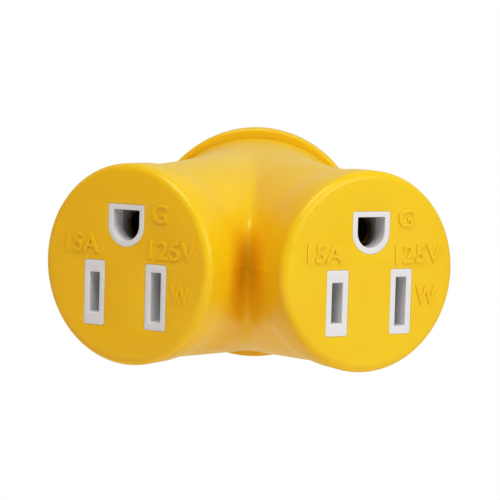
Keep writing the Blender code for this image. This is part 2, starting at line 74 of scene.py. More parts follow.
class Side(Enum):
    """The two arms of the adapter, with the sign of their side."""

    LEFT = -1
    RIGHT = 1

    @property
    def word(self) -> str:
        """The side's word in the names of nodes and pieces."""
        return self.name.lower()


class Pole(Enum):
    """The three poles of a grounded socket or plug."""

    HOT = "hot"
    NEUTRAL = "neutral"
    GROUND = "ground"


class Boolean(Enum):
    """What happens to the pieces that are combined with another one."""

    ADD = "UNION"
    CUT = "DIFFERENCE"


# ---- mesh tools


def link(name: str, data: bpy.types.ID) -> Piece:
    """Put a mesh, a light or a camera into the scene as an object at the origin."""
    piece = bpy.data.objects.new(name, data)
    bpy.context.scene.collection.objects.link(piece)
    return piece


def to_piece(bm: Shape, name: str, place: Matrix | None = None) -> Piece:
    """Turn a bmesh into a smooth-shaded object at the origin.

    Args:
        bm: the shape; it is freed.
        name: the object's name.
        place: where the shape goes in the frame.

    Returns:
        The new object.
    """
    if place is not None:
        bmesh.ops.transform(bm, matrix=place, verts=bm.verts)
    bmesh.ops.remove_doubles(bm, verts=bm.verts, dist=TINY / 2)
    bmesh.ops.recalc_face_normals(bm, faces=bm.faces)
    mesh = bpy.data.meshes.new(name)
    bm.to_mesh(mesh)
    bm.free()
    mesh.shade_smooth()
    mesh.set_sharp_from_angle(angle=SHARP)
    return link(name, mesh)


def combine(target: Piece, tools: list[Piece], operation: Boolean) -> None:
    """Cut tools out of a piece or join them on, and keep the result as its mesh.

    Args:
        target: the piece that is changed.
        tools: closed objects, which are used up.
        operation: what happens to them.
    """
    for tool in tools:
        modifier = target.modifiers.new(tool.name, "BOOLEAN")
        modifier.operation = operation.value
        modifier.solver = "MANIFOLD"
        modifier.object = tool
    graph = bpy.context.evaluated_depsgraph_get()
    mesh = bpy.data.meshes.new_from_object(target.evaluated_get(graph), depsgraph=graph)
    target.modifiers.clear()
    old, target.data = target.data, mesh
    mesh.name = target.name
    bpy.data.meshes.remove(old)
    for tool in tools:
        bpy.data.meshes.remove(tool.data)
    mesh.shade_smooth()
    mesh.set_sharp_from_angle(angle=SHARP)


def soften(piece: Piece, width: float, segments: int) -> None:
    """Round the hard edges of a finished piece with a live Bevel.

    Args:
        piece: the piece.
        width: how wide the rounding is.
        segments: its steps.
    """
    modifier = piece.modifiers.new("edge_rounding", "BEVEL")
    modifier.width = width
    modifier.segments = segments
    modifier.limit_method = "ANGLE"
    modifier.angle_limit = radians(50)
    modifier.use_clamp_overlap = True
    modifier.harden_normals = True


@dataclass(frozen=True)
class Outline:
    """A four-cornered outline across Y whose upper and lower corners are rounded.

    The lower corners of a ground outline have half its width, which makes it half round.
    """

    width: float
    low: float
    high: float
    centre: float = 0.0
    upper_corner: float = 0.3 * MM
    lower_corner: float = 0.3 * MM
    steps: int = 8
    least_corner: float = 0.02 * MM

    def loop(self, bm: Shape, y: float, grow: float = 0.0) -> list[bmesh.types.BMEdge]:
        """Add the outline's edges to a mesh.

        Args:
            bm: the mesh.
            y: how deep the loop lies.
            grow: how far the outline is moved outwards.

        Returns:
            The loop's edges.
        """
        half = self.width / 2 + grow
        high, low = self.high + grow, self.low - grow
        corners = ((half, high, self.upper_corner), (-half, high, self.upper_corner),
                   (-half, low, self.lower_corner), (half, low, self.lower_corner))
        verts = [bm.verts.new((self.centre + x, y, z)) for x, z, _ in corners]
        bm.faces.new(verts)
        for vert, (_, _, corner) in zip(verts, corners):
            radius = min(max(corner + grow, self.least_corner), half - TINY)
            bmesh.ops.bevel(bm, geom=[vert], offset=radius, affect="VERTICES", segments=self.steps,
                            profile=0.5, material=-1)
        face = next(iter(bm.faces))
        edges = list(face.edges)
        bmesh.ops.delete(bm, geom=[face], context="FACES_ONLY")
        return edges

    def loft(self, levels: Levels) -> Shape:
        """Return a closed solid through the outline at several levels."""
        bm = bmesh.new()
        loops = [self.loop(bm, y, grow) for grow, y in levels]
        for first, second in zip(loops, loops[1:]):
            bmesh.ops.bridge_loops(bm, edges=first + second)
        for ends in (loops[0], loops[-1]):
            bmesh.ops.contextual_create(bm, geom=ends)
        return bm


def rounding(radius: float, steps: int) -> Iterator[tuple[float, float]]:
    """Yield how far inside the side and how deep the points of a rounded edge lie."""
    for step in range(steps + 1):
        angle = pi / 2 * step / steps
        yield radius * (1 - sin(angle)), radius * (1 - cos(angle))


def rounded_mouth(radius: float, depth: float) -> Levels:
    """Return levels for a cutter of some depth that leaves a rounded mouth at depth 0."""
    return [(radius, -OVERLAP), *rounding(radius, EDGE_STEPS), (0.0, depth)]


def rounded_front(radius: float, depth: float) -> Levels:
    """Return levels for a solid of some depth whose front edge at depth 0 is rounded."""
    return [*((-inset, y) for inset, y in rounding(radius, EDGE_STEPS)), (0.0, depth)]


def turned(profile: Iterable[tuple[float, float]], centre: tuple[float, float] = (0.0, 0.0),
           sides: int = 96) -> Shape:
    """Return a solid turned round an axis along Y.

    Args:
        profile: pairs of radius and depth; the first and last lie on the axis.
        centre: the axis, as x and z.
        sides: the turned surface's sides.

    Returns:
        The solid's mesh.
    """
    bm = bmesh.new()
    x, z = centre
    verts = [bm.verts.new((x + radius, y, z)) for radius, y in profile]
    edges = [bm.edges.new(pair) for pair in zip(verts, verts[1:])]
    bmesh.ops.spin(bm, geom=verts + edges, cent=(x, 0.0, z), axis=(0.0, 1.0, 0.0),
                   angle=2 * pi, steps=sides, use_merge=True)
    return bm


def rod(radius: float, front: float, back: float, centre: tuple[float, float] = (0.0, 0.0),
        sides: int = 96) -> Shape:
    """Return a round rod or disc along Y, from front to back."""
    return turned([(0.0, front), (radius, front), (radius, back), (0.0, back)], centre, sides)


# ---- finishes


def linear(code: str) -> tuple[float, float, float, float]:
    """Turn an sRGB hex colour into linear RGBA."""
    shares = [int(code[start:start + 2], 16) / 255 for start in (1, 3, 5)]
    light = [share / 12.92 if share <= 0.04045 else ((share + 0.055) / 1.055) ** 2.4
             for share in shares]
    return (*light, 1.0)


def adjust(node: bpy.types.Node, settings: dict[str | int, object]) -> None:
    """Set a node's inputs, by name or number, and its properties."""
    for name, value in settings.items():
        if isinstance(name, int) or name in node.inputs:
            node.inputs[name].default_value = value
        else:
            setattr(node, name, value)


def add_node(tree: bpy.types.NodeTree, kind: str, settings: dict[str | int, object],
             links: dict[str | int, bpy.types.NodeSocket] | None = None) -> bpy.types.Node:
    """Add one node with its settings and links.

    Args:
        tree: the node tree.
        kind: the node's type.
        settings: properties and unlinked inputs.
        links: sockets that feed its inputs, by the inputs' names or numbers.

    Returns:
        The new node.
    """
    node = tree.nodes.new(kind)
    adjust(node, settings)
    for name, socket in (links or {}).items():
        tree.links.new(socket, node.inputs[name])
    return node


def new_material(name: str) -> tuple[bpy.types.Material, bpy.types.NodeTree, bpy.types.Node]:
    """Return a new material with its node tree and its shader."""
    material = bpy.data.materials.new(name)
    material.use_nodes = True
    tree = material.node_tree
    return material, tree, tree.nodes["Principled BSDF"]


def vary(tree: bpy.types.NodeTree, pattern: bpy.types.NodeSocket, colours: tuple[str, str],
         span: tuple[float, float], roughness: tuple[float, float]) -> None:
    """Let a pattern shift the colour and the roughness of a material.

    Args:
        tree: the material's node tree.
        pattern: the pattern's value.
        colours: the colours at both ends of the shift.
        span: the pattern's values there.
        roughness: the roughness where the pattern is weak and where it is strong.
    """
    shader = tree.nodes["Principled BSDF"]
    share = add_node(tree, "ShaderNodeMapRange", {"From Min": span[0], "From Max": span[1]},
                     {"Value": pattern})
    colour = add_node(tree, "ShaderNodeMix", {
        "data_type": "RGBA", 6: linear(colours[0]), 7: linear(colours[1])},
        {0: share.outputs["Result"]})
    tree.links.new(colour.outputs[2], shader.inputs["Base Color"])
    rough = add_node(tree, "ShaderNodeMapRange", {
        "From Min": 0.3, "From Max": 0.7, "To Min": roughness[0], "To Max": roughness[1]},
        {"Value": pattern})
    tree.links.new(rough.outputs["Result"], shader.inputs["Roughness"])


def finish(piece: Piece, material: bpy.types.Material) -> None:
    """Give a piece one material all over."""
    piece.data.materials.clear()
    piece.data.materials.append(material)


@dataclass(frozen=True)
class MouldedPlastic:
    """An injection-moulded plastic: soft gloss, a fine orange-peel skin and faint flow marks.

    Flow marks shift the colour a little over centimetres. The skin's fine bump breaks the
    edges of reflections, and its roughness wanders, as on a part from a polished mould.
    """

    name: str
    colour: str
    flow_colour: str
    roughness: float
    ior: float = 1.52
    gloss: float = 0.5  # specular level, 0.5 being what the IOR gives
    subsurface: float = 0.0
    skin: float = 0.35 * MM  # width of one bump of the skin
    skin_depth: float = 0.004 * MM
    flow: float = 14.0 * MM  # width of one flow mark
    wave: float = 5.0 * MM  # shrinkage waves in the skin
    wave_depth: float = 0.02 * MM

    def build(self) -> bpy.types.Material:
        """Return the material."""
        material, tree, shader = new_material(self.name)
        place = add_node(tree, "ShaderNodeTexCoord", {}).outputs["Object"]
        flow = add_node(tree, "ShaderNodeTexNoise", {"Scale": 1 / self.flow, "Detail": 3.0,
                                                      "Roughness": 0.55}, {"Vector": place})
        vary(tree, flow.outputs["Fac"], (self.colour, self.flow_colour), (0.35, 0.65),
             (self.roughness - 0.03, self.roughness + 0.04))
        skin = add_node(tree, "ShaderNodeTexNoise", {"Scale": 1 / self.skin, "Detail": 2.0},
                        {"Vector": place})
        wave = add_node(tree, "ShaderNodeTexNoise", {"Scale": 1 / self.wave, "Detail": 1.0},
                        {"Vector": place})
        waves = add_node(tree, "ShaderNodeBump", {"Strength": 1.0, "Distance": self.wave_depth},
                         {"Height": wave.outputs["Fac"]})
        bump = add_node(tree, "ShaderNodeBump", {"Strength": 1.0, "Distance": self.skin_depth},
                        {"Height": skin.outputs["Fac"], "Normal": waves.outputs["Normal"]})
        tree.links.new(bump.outputs["Normal"], shader.inputs["Normal"])
        adjust(shader, {"IOR": self.ior, "Specular IOR Level": self.gloss})
        if self.subsurface:
            adjust(shader, {"Subsurface Weight": self.subsurface, "Subsurface Scale": 1.2 * MM,
                            "Subsurface Radius": (1.0, 0.55, 0.12)})
        return material


@dataclass(frozen=True)
class StampedMetal:
    """A plated or bare strip metal: drawn lines along its length and a cloudy lustre.

    The drawn lines stretch the highlights across the strip. The cloudy roughness stands for
    handling marks and a thin oxide film, which also shifts the colour a little. On the brass
    both colours are darker and browner than clean brass: painted shade for the contacts,
    which sit deep in the socket pockets.
    """

    name: str
    colour: str
    # the darker colour that the cloud shifts towards: an oxide film, and on the brass painted
    # shade as well
    tarnish: str
    roughness: float
    line: float = 0.12 * MM  # spacing of the drawn lines
    line_depth: float = 0.002 * MM
    cloud: float = 3.0 * MM
    stretch: float = 24.0  # length of a line over its width

    def build(self) -> bpy.types.Material:
        """Return the material."""
        material, tree, shader = new_material(self.name)
        adjust(shader, {"Metallic": 1.0})
        place = add_node(tree, "ShaderNodeTexCoord", {}).outputs["Object"]
        cloud = add_node(tree, "ShaderNodeTexNoise", {"Scale": 1 / self.cloud, "Detail": 4.0},
                         {"Vector": place})
        vary(tree, cloud.outputs["Fac"], (self.colour, self.tarnish), (0.4, 0.75),
             (self.roughness - 0.06, self.roughness + 0.1))
        drawn = add_node(tree, "ShaderNodeMapping", {"Scale": (1.0, 1 / self.stretch, 1.0)},
                         {"Vector": place})
        lines = add_node(tree, "ShaderNodeTexNoise", {"Scale": 1 / self.line, "Detail": 2.0},
                         {"Vector": drawn.outputs["Vector"]})
        bump = add_node(tree, "ShaderNodeBump", {"Strength": 0.6, "Distance": self.line_depth},
                        {"Height": lines.outputs["Fac"]})
        tree.links.new(bump.outputs["Normal"], shader.inputs["Normal"])
        return material


# ---- the adapter's sizes


@dataclass(frozen=True)
class OutletPattern:
    """The grounded 15 A pattern, seen from a socket's front and centred on its face."""

    pitch: float = 12.7 * MM
    rise: float = 11.9 * MM
    drop: float = 5.1 * MM

    def place(self, pole: Pole) -> tuple[float, float]:
        """Return a pole's place, as x and z."""
        if pole is Pole.GROUND:
            return 0.0, self.rise - self.drop
        sign = -1 if pole is Pole.HOT else 1
        return sign * self.pitch / 2, -self.drop


@dataclass(frozen=True)
class SocketPlace:
    """Where one socket's face lies: its centre and how far it is turned outwards."""

    side: Side
    spread: float
    reach: float
    tilt: float

    @classmethod
    def read(cls, side: Side) -> "SocketPlace":
        """Return the place that the record's mount gives for one side."""
        name = f"{side.word}_socket_face"
        mount = next(one for one in frame["record"]["mounts"] if one["name"] == name)
        x, y, _ = mount["pos_m"]
        return cls(side, abs(x), -y, atan2(abs(mount["axis"][0]), -mount["axis"][1]))

    @property
    def face(self) -> Vector:
        """The middle of the socket's face."""
        return Vector((self.side.value * self.spread, -self.reach, 0.0))

    @property
    def inward(self) -> Vector:
        """The way into the socket."""
        return Vector((-self.side.value * sin(self.tilt), cos(self.tilt), 0.0))

    @property
    def matrix(self) -> Matrix:
        """The socket's frame: +Y runs into it, +Z is up and +X is to the right."""
        turn = Matrix.Rotation(self.side.value * self.tilt, 4, "Z")
        return Matrix.Translation(self.face) @ turn


# ---- pieces


@dataclass(frozen=True)
class SocketInsert:
    """The white insert of a socket: three bosses that end flush with the face.

    Behind them are a flange and a block with a pocket for each contact.
    """

    pattern: OutletPattern
    face_wall: float = 2.9 * MM  # from the face to the flange
    boss_width: float = 4.3 * MM
    boss_height: float = 11.2 * MM
    boss_corner: float = 0.45 * MM
    ground_boss: float = 7.5 * MM
    arch_top: float = 0.94  # flat top over the ground centre, in half widths
    slot_width: float = 2.1 * MM
    hot_slot: float = 6.9 * MM
    neutral_slot: float = 8.4 * MM
    ground_hole: float = 5.4 * MM
    edge: float = 0.12 * MM
    throat: float = 4.0 * MM  # from the face to the wider contact pockets
    ground_throat: float = 3.0 * MM
    throat_overlap: float = 0.5 * MM
    pocket_width: float = 4.6 * MM
    hot_pocket: float = 3.5 * MM  # half the height of a contact pocket
    neutral_pocket: float = 4.0 * MM
    ground_pocket: float = 3.9 * MM
    fit: float = 0.025 * MM  # air between a boss and its window
    flange_radius: float = 13.97 * MM
    flange_depth: float = 4.0 * MM
    depth: float = 17.0 * MM  # from the flange's front to the cover
    block_wall: float = 1.0 * MM  # outside the pockets
    block_roof: float = 0.8 * MM  # above the ground pocket
    block_corner: float = 3.0 * MM
    hole_corner: float = 0.25 * MM
    slot_corner: float = 0.15 * MM
    round_steps: int = 16

    def boss(self, pole: Pole) -> Outline:
        """Return the outline of a boss."""
        x, z = self.pattern.place(pole)
        if pole is Pole.GROUND:
            half = self.ground_boss / 2
            return Outline(self.ground_boss, z - half, z + self.arch_top * half, x,
                           self.boss_corner, half, self.round_steps)
        half = self.boss_height / 2
        return Outline(self.boss_width, z - half, z + half, x, self.boss_corner, self.boss_corner)

    def slot(self, pole: Pole) -> Outline:
        """Return the outline of a slot or of the ground hole."""
        x, z = self.pattern.place(pole)
        if pole is Pole.GROUND:
            half = self.ground_hole / 2
            return Outline(self.ground_hole, z - half, z + self.arch_top * half, x,
                           self.hole_corner, half, self.round_steps)
        half = (self.hot_slot if pole is Pole.HOT else self.neutral_slot) / 2
        return Outline(self.slot_width, z - half, z + half, x, self.slot_corner, self.slot_corner)

    def pocket(self, pole: Pole) -> Outline:
        """Return the outline of the room for a pole's contact."""
        x, z = self.pattern.place(pole)
        if pole is Pole.GROUND:
            half = self.ground_pocket
            return Outline(2 * half, z - half, z + half, x, half, half, self.round_steps)
        half = self.hot_pocket if pole is Pole.HOT else self.neutral_pocket
        return Outline(self.pocket_width, z - half, z + half, x)

    def build(self, side: Side, place: Matrix) -> Piece:
        """Return one socket's insert.

        Args:
            side: the arm that it sits in.
            place: the socket's frame.

        Returns:
            The insert.
        """
        name = f"{side.word}_insert"
        flange_back = self.face_wall + self.flange_depth
        back = self.face_wall + self.depth
        insert = to_piece(rod(self.flange_radius, self.face_wall, flange_back), name)
        half = self.pattern.pitch / 2 + self.pocket_width / 2 + self.block_wall
        low = self.pattern.place(Pole.NEUTRAL)[1] - self.neutral_pocket - self.block_wall
        high = self.pattern.place(Pole.GROUND)[1] + self.ground_pocket + self.block_roof
        block = Outline(2 * half, low, high, 0.0, self.block_corner, self.block_corner)
        parts = [to_piece(block.loft([(0.0, flange_back - OVERLAP), (0.0, back)]), "block")]
        tools = []
        for pole in Pole:
            boss = self.boss(pole).loft(rounded_front(self.edge, self.face_wall + OVERLAP))
            parts.append(to_piece(boss, f"{pole.value}_boss"))
            throat = self.ground_throat if pole is Pole.GROUND else self.throat
            slot = self.slot(pole).loft(rounded_mouth(self.edge, throat + self.throat_overlap))
            tools.append(to_piece(slot, f"{pole.value}_slot"))
            pocket = self.pocket(pole).loft([(0.0, throat), (0.0, back + OVERLAP)])
            tools.append(to_piece(pocket, f"{pole.value}_pocket"))
        combine(insert, parts, Boolean.ADD)
        combine(insert, tools, Boolean.CUT)
        insert.data.transform(place)
        return insert


@dataclass(frozen=True)
class ForkBody:
    """The yellow body: two round heads on arms that run together into one neck."""

    places: dict[Side, SocketPlace]
    insert: SocketInsert
    back: float  # where the neck ends at the cap
    head_radius: float = 17.2 * MM
    head_edge: float = 1.5 * MM
    head_length: float = 5.6 * MM
    arm_step: float = 0.4 * MM  # how much thinner an arm is than its head
    shoulder: float = 5.0 * MM  # length over which the head becomes the arm
    arm_handle: float = 14.0 * MM  # how long each end of the arm's curve pulls straight
    neck_handle: float = 18.0 * MM
    early_swell: float = 0.55  # how fast the arm starts to widen towards the neck
    neck_radius: float = 20.3 * MM
    neck_offset: float = 0.4 * MM
    fork_fillet: float = 1.5 * MM  # rounding at the bottom of the valley between the arms
    fork_slot: float = 3.0 * MM  # half width of the valley's steeper middle
    fork_lines: tuple[float, ...] = (1.0, 0.9, 0.8, 0.7, 0.6, 0.5)  # its edges, in half widths
    fork_steeper: float = 3.7  # its slope, in slopes of the arms
    fork_fade: float = 10.0 * MM  # height over which it fades out
    fork_middle: float = -2.2 * MM  # height where it is deepest
    chamber_radius: float = 14.27 * MM
    face_wall: float = 2.6 * MM
    neck_bore: float = 16.0 * MM
    spigot_bore: float = 17.9 * MM
    spigot_length: float = 6.2 * MM
    neck_lead: float = 4.0 * MM  # neck bore in front of where the arms' axes cross
    window_edge: float = 0.05 * MM
    face_ring: float = 0.6 * MM  # ring of faces just inside a head's rounded edge
    parting: float = 0.16 * MM  # half width of the mould's parting line
    flash: float = 0.04 * MM  # height of the parting line
    sides: int = 144
    edge_steps: int = 12
    shoulder_steps: int = 10
    arm_steps: int = 44
    fillet_steps: int = 6

    @property
    def right(self) -> SocketPlace:
        """The right socket's place; the left arm is the right one's mirror image."""
        return self.places[Side.RIGHT]

    def section(self, centre: Vector, along: Vector, radius: float) -> Matrix:
        """Return the matrix that takes a unit circle to one section of an arm."""
        across = Vector((along.y, -along.x, 0.0))
        turn = Matrix((across * radius, UP * radius, along * radius)).transposed().to_4x4()
        return Matrix.Translation(centre) @ turn

    def stations(self) -> Iterator[Matrix]:
        """Yield the right arm's sections, from the face to the cap."""
        face, inward = self.right.face, self.right.inward
        for inset, depth in rounding(self.head_edge, self.edge_steps):
            yield self.section(face + inward * depth, inward, self.head_radius - inset)
        for step in range(self.shoulder_steps + 1):
            share = step / self.shoulder_steps
            drop = self.arm_step * (1 - cos(pi * share)) / 2
            depth = self.head_length + self.shoulder * share
            yield self.section(face + inward * depth, inward, self.head_radius - drop)
        start = face + inward * (self.head_length + self.shoulder)
        end = Vector((self.neck_offset, self.back, 0.0))
        arm_end = start + inward * self.arm_handle
        neck_start = end - Vector((0.0, self.neck_handle, 0.0))
        thin = self.head_radius - self.arm_step
        for step in range(1, self.arm_steps + 1):
            t = step / self.arm_steps
            centre = (start * (1 - t) ** 3 + arm_end * 3 * t * (1 - t) ** 2
                      + neck_start * 3 * t * t * (1 - t) + end * t ** 3)
            along = ((arm_end - start) * (1 - t) ** 2 + (neck_start - arm_end) * 2 * t * (1 - t)
                     + (end - neck_start) * t * t).normalized()
            swell = t * (self.early_swell + (1 - self.early_swell) * t)
            yield self.section(centre, along, thin + (self.neck_radius - thin) * swell)

    def right_arm(self) -> Shape:
        """Return the whole right arm as a closed round solid."""
        bm = bmesh.new()
        made = bmesh.ops.create_circle(bm, cap_ends=True, radius=1.0, segments=self.sides)
        sections = list(self.stations())
        bmesh.ops.transform(bm, matrix=sections[0], verts=made["verts"])
        bmesh.ops.inset_individual(bm, faces=bm.faces[:], thickness=self.face_ring)
        edges = [edge for edge in bm.edges if edge.is_boundary]
        for previous, following in zip(sections, sections[1:]):
            grown = bmesh.ops.extrude_edge_only(bm, edges=edges)["geom"]
            verts = [item for item in grown if isinstance(item, bmesh.types.BMVert)]
            edges = [item for item in grown if isinstance(item, bmesh.types.BMEdge)]
            bmesh.ops.transform(bm, matrix=following @ previous.inverted(), verts=verts)
        bmesh.ops.contextual_create(bm, geom=edges)
        return bm

    def slit(self, bm: Shape, point: Vector, normal: Vector, clear: bool) -> None:
        """Split a mesh along a plane, and drop what lies on the normal's side if asked."""
        bmesh.ops.bisect_plane(bm, geom=bm.verts[:] + bm.edges[:] + bm.faces[:], plane_co=point,
                               plane_no=normal, clear_outer=clear)

    def make_valley(self, bm: Shape) -> None:
        """Cut the arm at the middle plane and round the valley that its mirror image makes."""
        lines = [self.fork_slot * share for share in self.fork_lines]
        lines += [self.fork_fillet * (1 + (step / self.fillet_steps) ** 2) / 2
                  for step in range(self.fillet_steps, -1, -1)]
        for line in lines:
            self.slit(bm, Vector((line, 0.0, 0.0)), Vector((-1.0, 0.0, 0.0)), line == lines[-1])
        deeper = (self.fork_steeper - 1) / tan(self.right.tilt)
        for vert in bm.verts:
            inside = self.fork_slot - vert.co.x
            if inside > 0.0:
                height = (vert.co.z - self.fork_middle) / self.fork_fade
                fade = max(1 - height ** 2, 0.0) ** 2
                vert.co.y += deeper * fade * inside * inside / (2 * self.fork_slot)
            if vert.co.x < self.fork_fillet:
                reach = 2 * self.fork_fillet * vert.co.x - self.fork_fillet ** 2
                vert.co.x = sqrt(max(reach, 0.0))

    def raise_parting_line(self, bm: Shape) -> None:
        """Raise the fine line where the two halves of the mould met, except on the faces."""
        for level in (-self.parting, 0.0, self.parting):
            self.slit(bm, UP * level, UP, False)
        bm.normal_update()
        for vert in bm.verts:
            mirrored = Vector((abs(vert.co.x), vert.co.y, 0.0))
            depth = (mirrored - self.right.face).dot(self.right.inward)
            inside = depth > self.head_edge and vert.co.y < self.back - 10 * TINY
            if inside and abs(vert.co.z) < TINY:
                vert.co += vert.normal * self.flash

    def build(self) -> Piece:
        """Return the body, hollowed out and with the windows for both inserts."""
        bm = self.right_arm()
        self.make_valley(bm)
        whole = bm.verts[:] + bm.edges[:] + bm.faces[:]
        bmesh.ops.mirror(bm, geom=whole, axis="X", merge_dist=10 * TINY)
        bmesh.ops.recalc_face_normals(bm, faces=bm.faces)
        self.raise_parting_line(bm)
        body = to_piece(bm, "adapter_body")
        tools = []
        crossing = self.right.spread / tan(self.right.tilt) - self.right.reach
        for side, place in self.places.items():
            length = place.spread / sin(place.tilt)
            chamber = rod(self.chamber_radius, self.face_wall, length)
            tools.append(to_piece(chamber, f"{side.word}_chamber", place.matrix))
            for pole in Pole:
                levels = [(grow + self.insert.fit, y)
                          for grow, y in rounded_mouth(self.window_edge, self.face_wall + OVERLAP)]
                window = self.insert.boss(pole).loft(levels)
                tools.append(to_piece(window, f"{side.word}_{pole.value}_window", place.matrix))
        spigot_end = self.back - self.spigot_length
        neck = rod(self.neck_bore, crossing - self.neck_lead, spigot_end + OVERLAP)
        mouth = rod(self.spigot_bore, spigot_end, self.back + OVERLAP)
        tools += [to_piece(neck, "neck_chamber"), to_piece(mouth, "neck_mouth")]
        combine(body, tools, Boolean.CUT)
        return body


@dataclass(frozen=True)
class PlugCap:
    """The yellow oval cap that closes the neck and carries the plug."""

    half_width: float
    half_height: float
    depth: float = 10.0 * MM
    edge: float = 0.6 * MM
    back_edge: float = 1.2 * MM
    wall: float = 3.5 * MM
    spigot_radius: float = 17.6 * MM
    spigot_wall: float = 2.0 * MM
    spigot_length: float = 6.2 * MM
    window_edge: float = 0.15 * MM
    end_ring: float = 0.5 * MM  # ring of faces round each end of the flange
    fit: float = 0.08 * MM  # air round the pad
    sides: int = 160
    edge_steps: int = 10

    @classmethod
    def read(cls) -> "PlugCap":
        """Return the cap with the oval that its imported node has."""
        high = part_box("plug_cap")[1]
        return cls(high.x, high.z)

    def oval(self, bm: Shape, inset: float, y: float) -> list[bmesh.types.BMEdge]:
        """Add one oval loop to a mesh and return its edges."""
        made = bmesh.ops.create_circle(bm, cap_ends=False, radius=1.0, segments=self.sides)
        size = Matrix.Diagonal((self.half_width - inset, self.half_height - inset, 1.0, 1.0))
        matrix = Matrix.Translation((0.0, y, 0.0)) @ UPRIGHT @ size
        bmesh.ops.transform(bm, matrix=matrix, verts=made["verts"])
        return list({edge for vert in made["verts"] for edge in vert.link_edges})

    def levels(self) -> Iterator[tuple[float, float]]:
        """Yield the flange's insets and depths, from its front to its seating face."""
        for inset, y in rounding(self.edge, self.edge_steps):
            yield inset, y - self.depth
        for y, inset in rounding(self.back_edge, self.edge_steps):
            yield inset, -y

    def build(self, pad: list[Outline]) -> Piece:
        """Return the cap.

        Args:
            pad: the outlines whose sum is the pad's window.

        Returns:
            The cap.
        """
        bm = bmesh.new()
        loops = [self.oval(bm, inset, y) for inset, y in self.levels()]
        for first, second in zip(loops, loops[1:]):
            bmesh.ops.bridge_loops(bm, edges=first + second)
        for ends in (loops[0], loops[-1]):
            made = bmesh.ops.contextual_create(bm, geom=ends)["faces"]
            bmesh.ops.inset_individual(bm, faces=made, thickness=self.end_ring)
        cap = to_piece(bm, "cap")
        spigot_end = -self.depth - self.spigot_length
        spigot = rod(self.spigot_radius, spigot_end, self.edge - self.depth)
        combine(cap, [to_piece(spigot, "spigot")], Boolean.ADD)
        bore = self.spigot_radius - self.spigot_wall
        tools = [to_piece(rod(bore, spigot_end - OVERLAP, -self.wall), "cap_chamber")]
        for number, outline in enumerate(pad):
            window = outline.loft([(self.fit, -self.wall - OVERLAP), (self.fit, -self.window_edge),
                                   (self.fit + 2 * self.window_edge, self.window_edge)])
            tools.append(to_piece(window, f"pad_window_{number}"))
        combine(cap, tools, Boolean.CUT)
        return cap


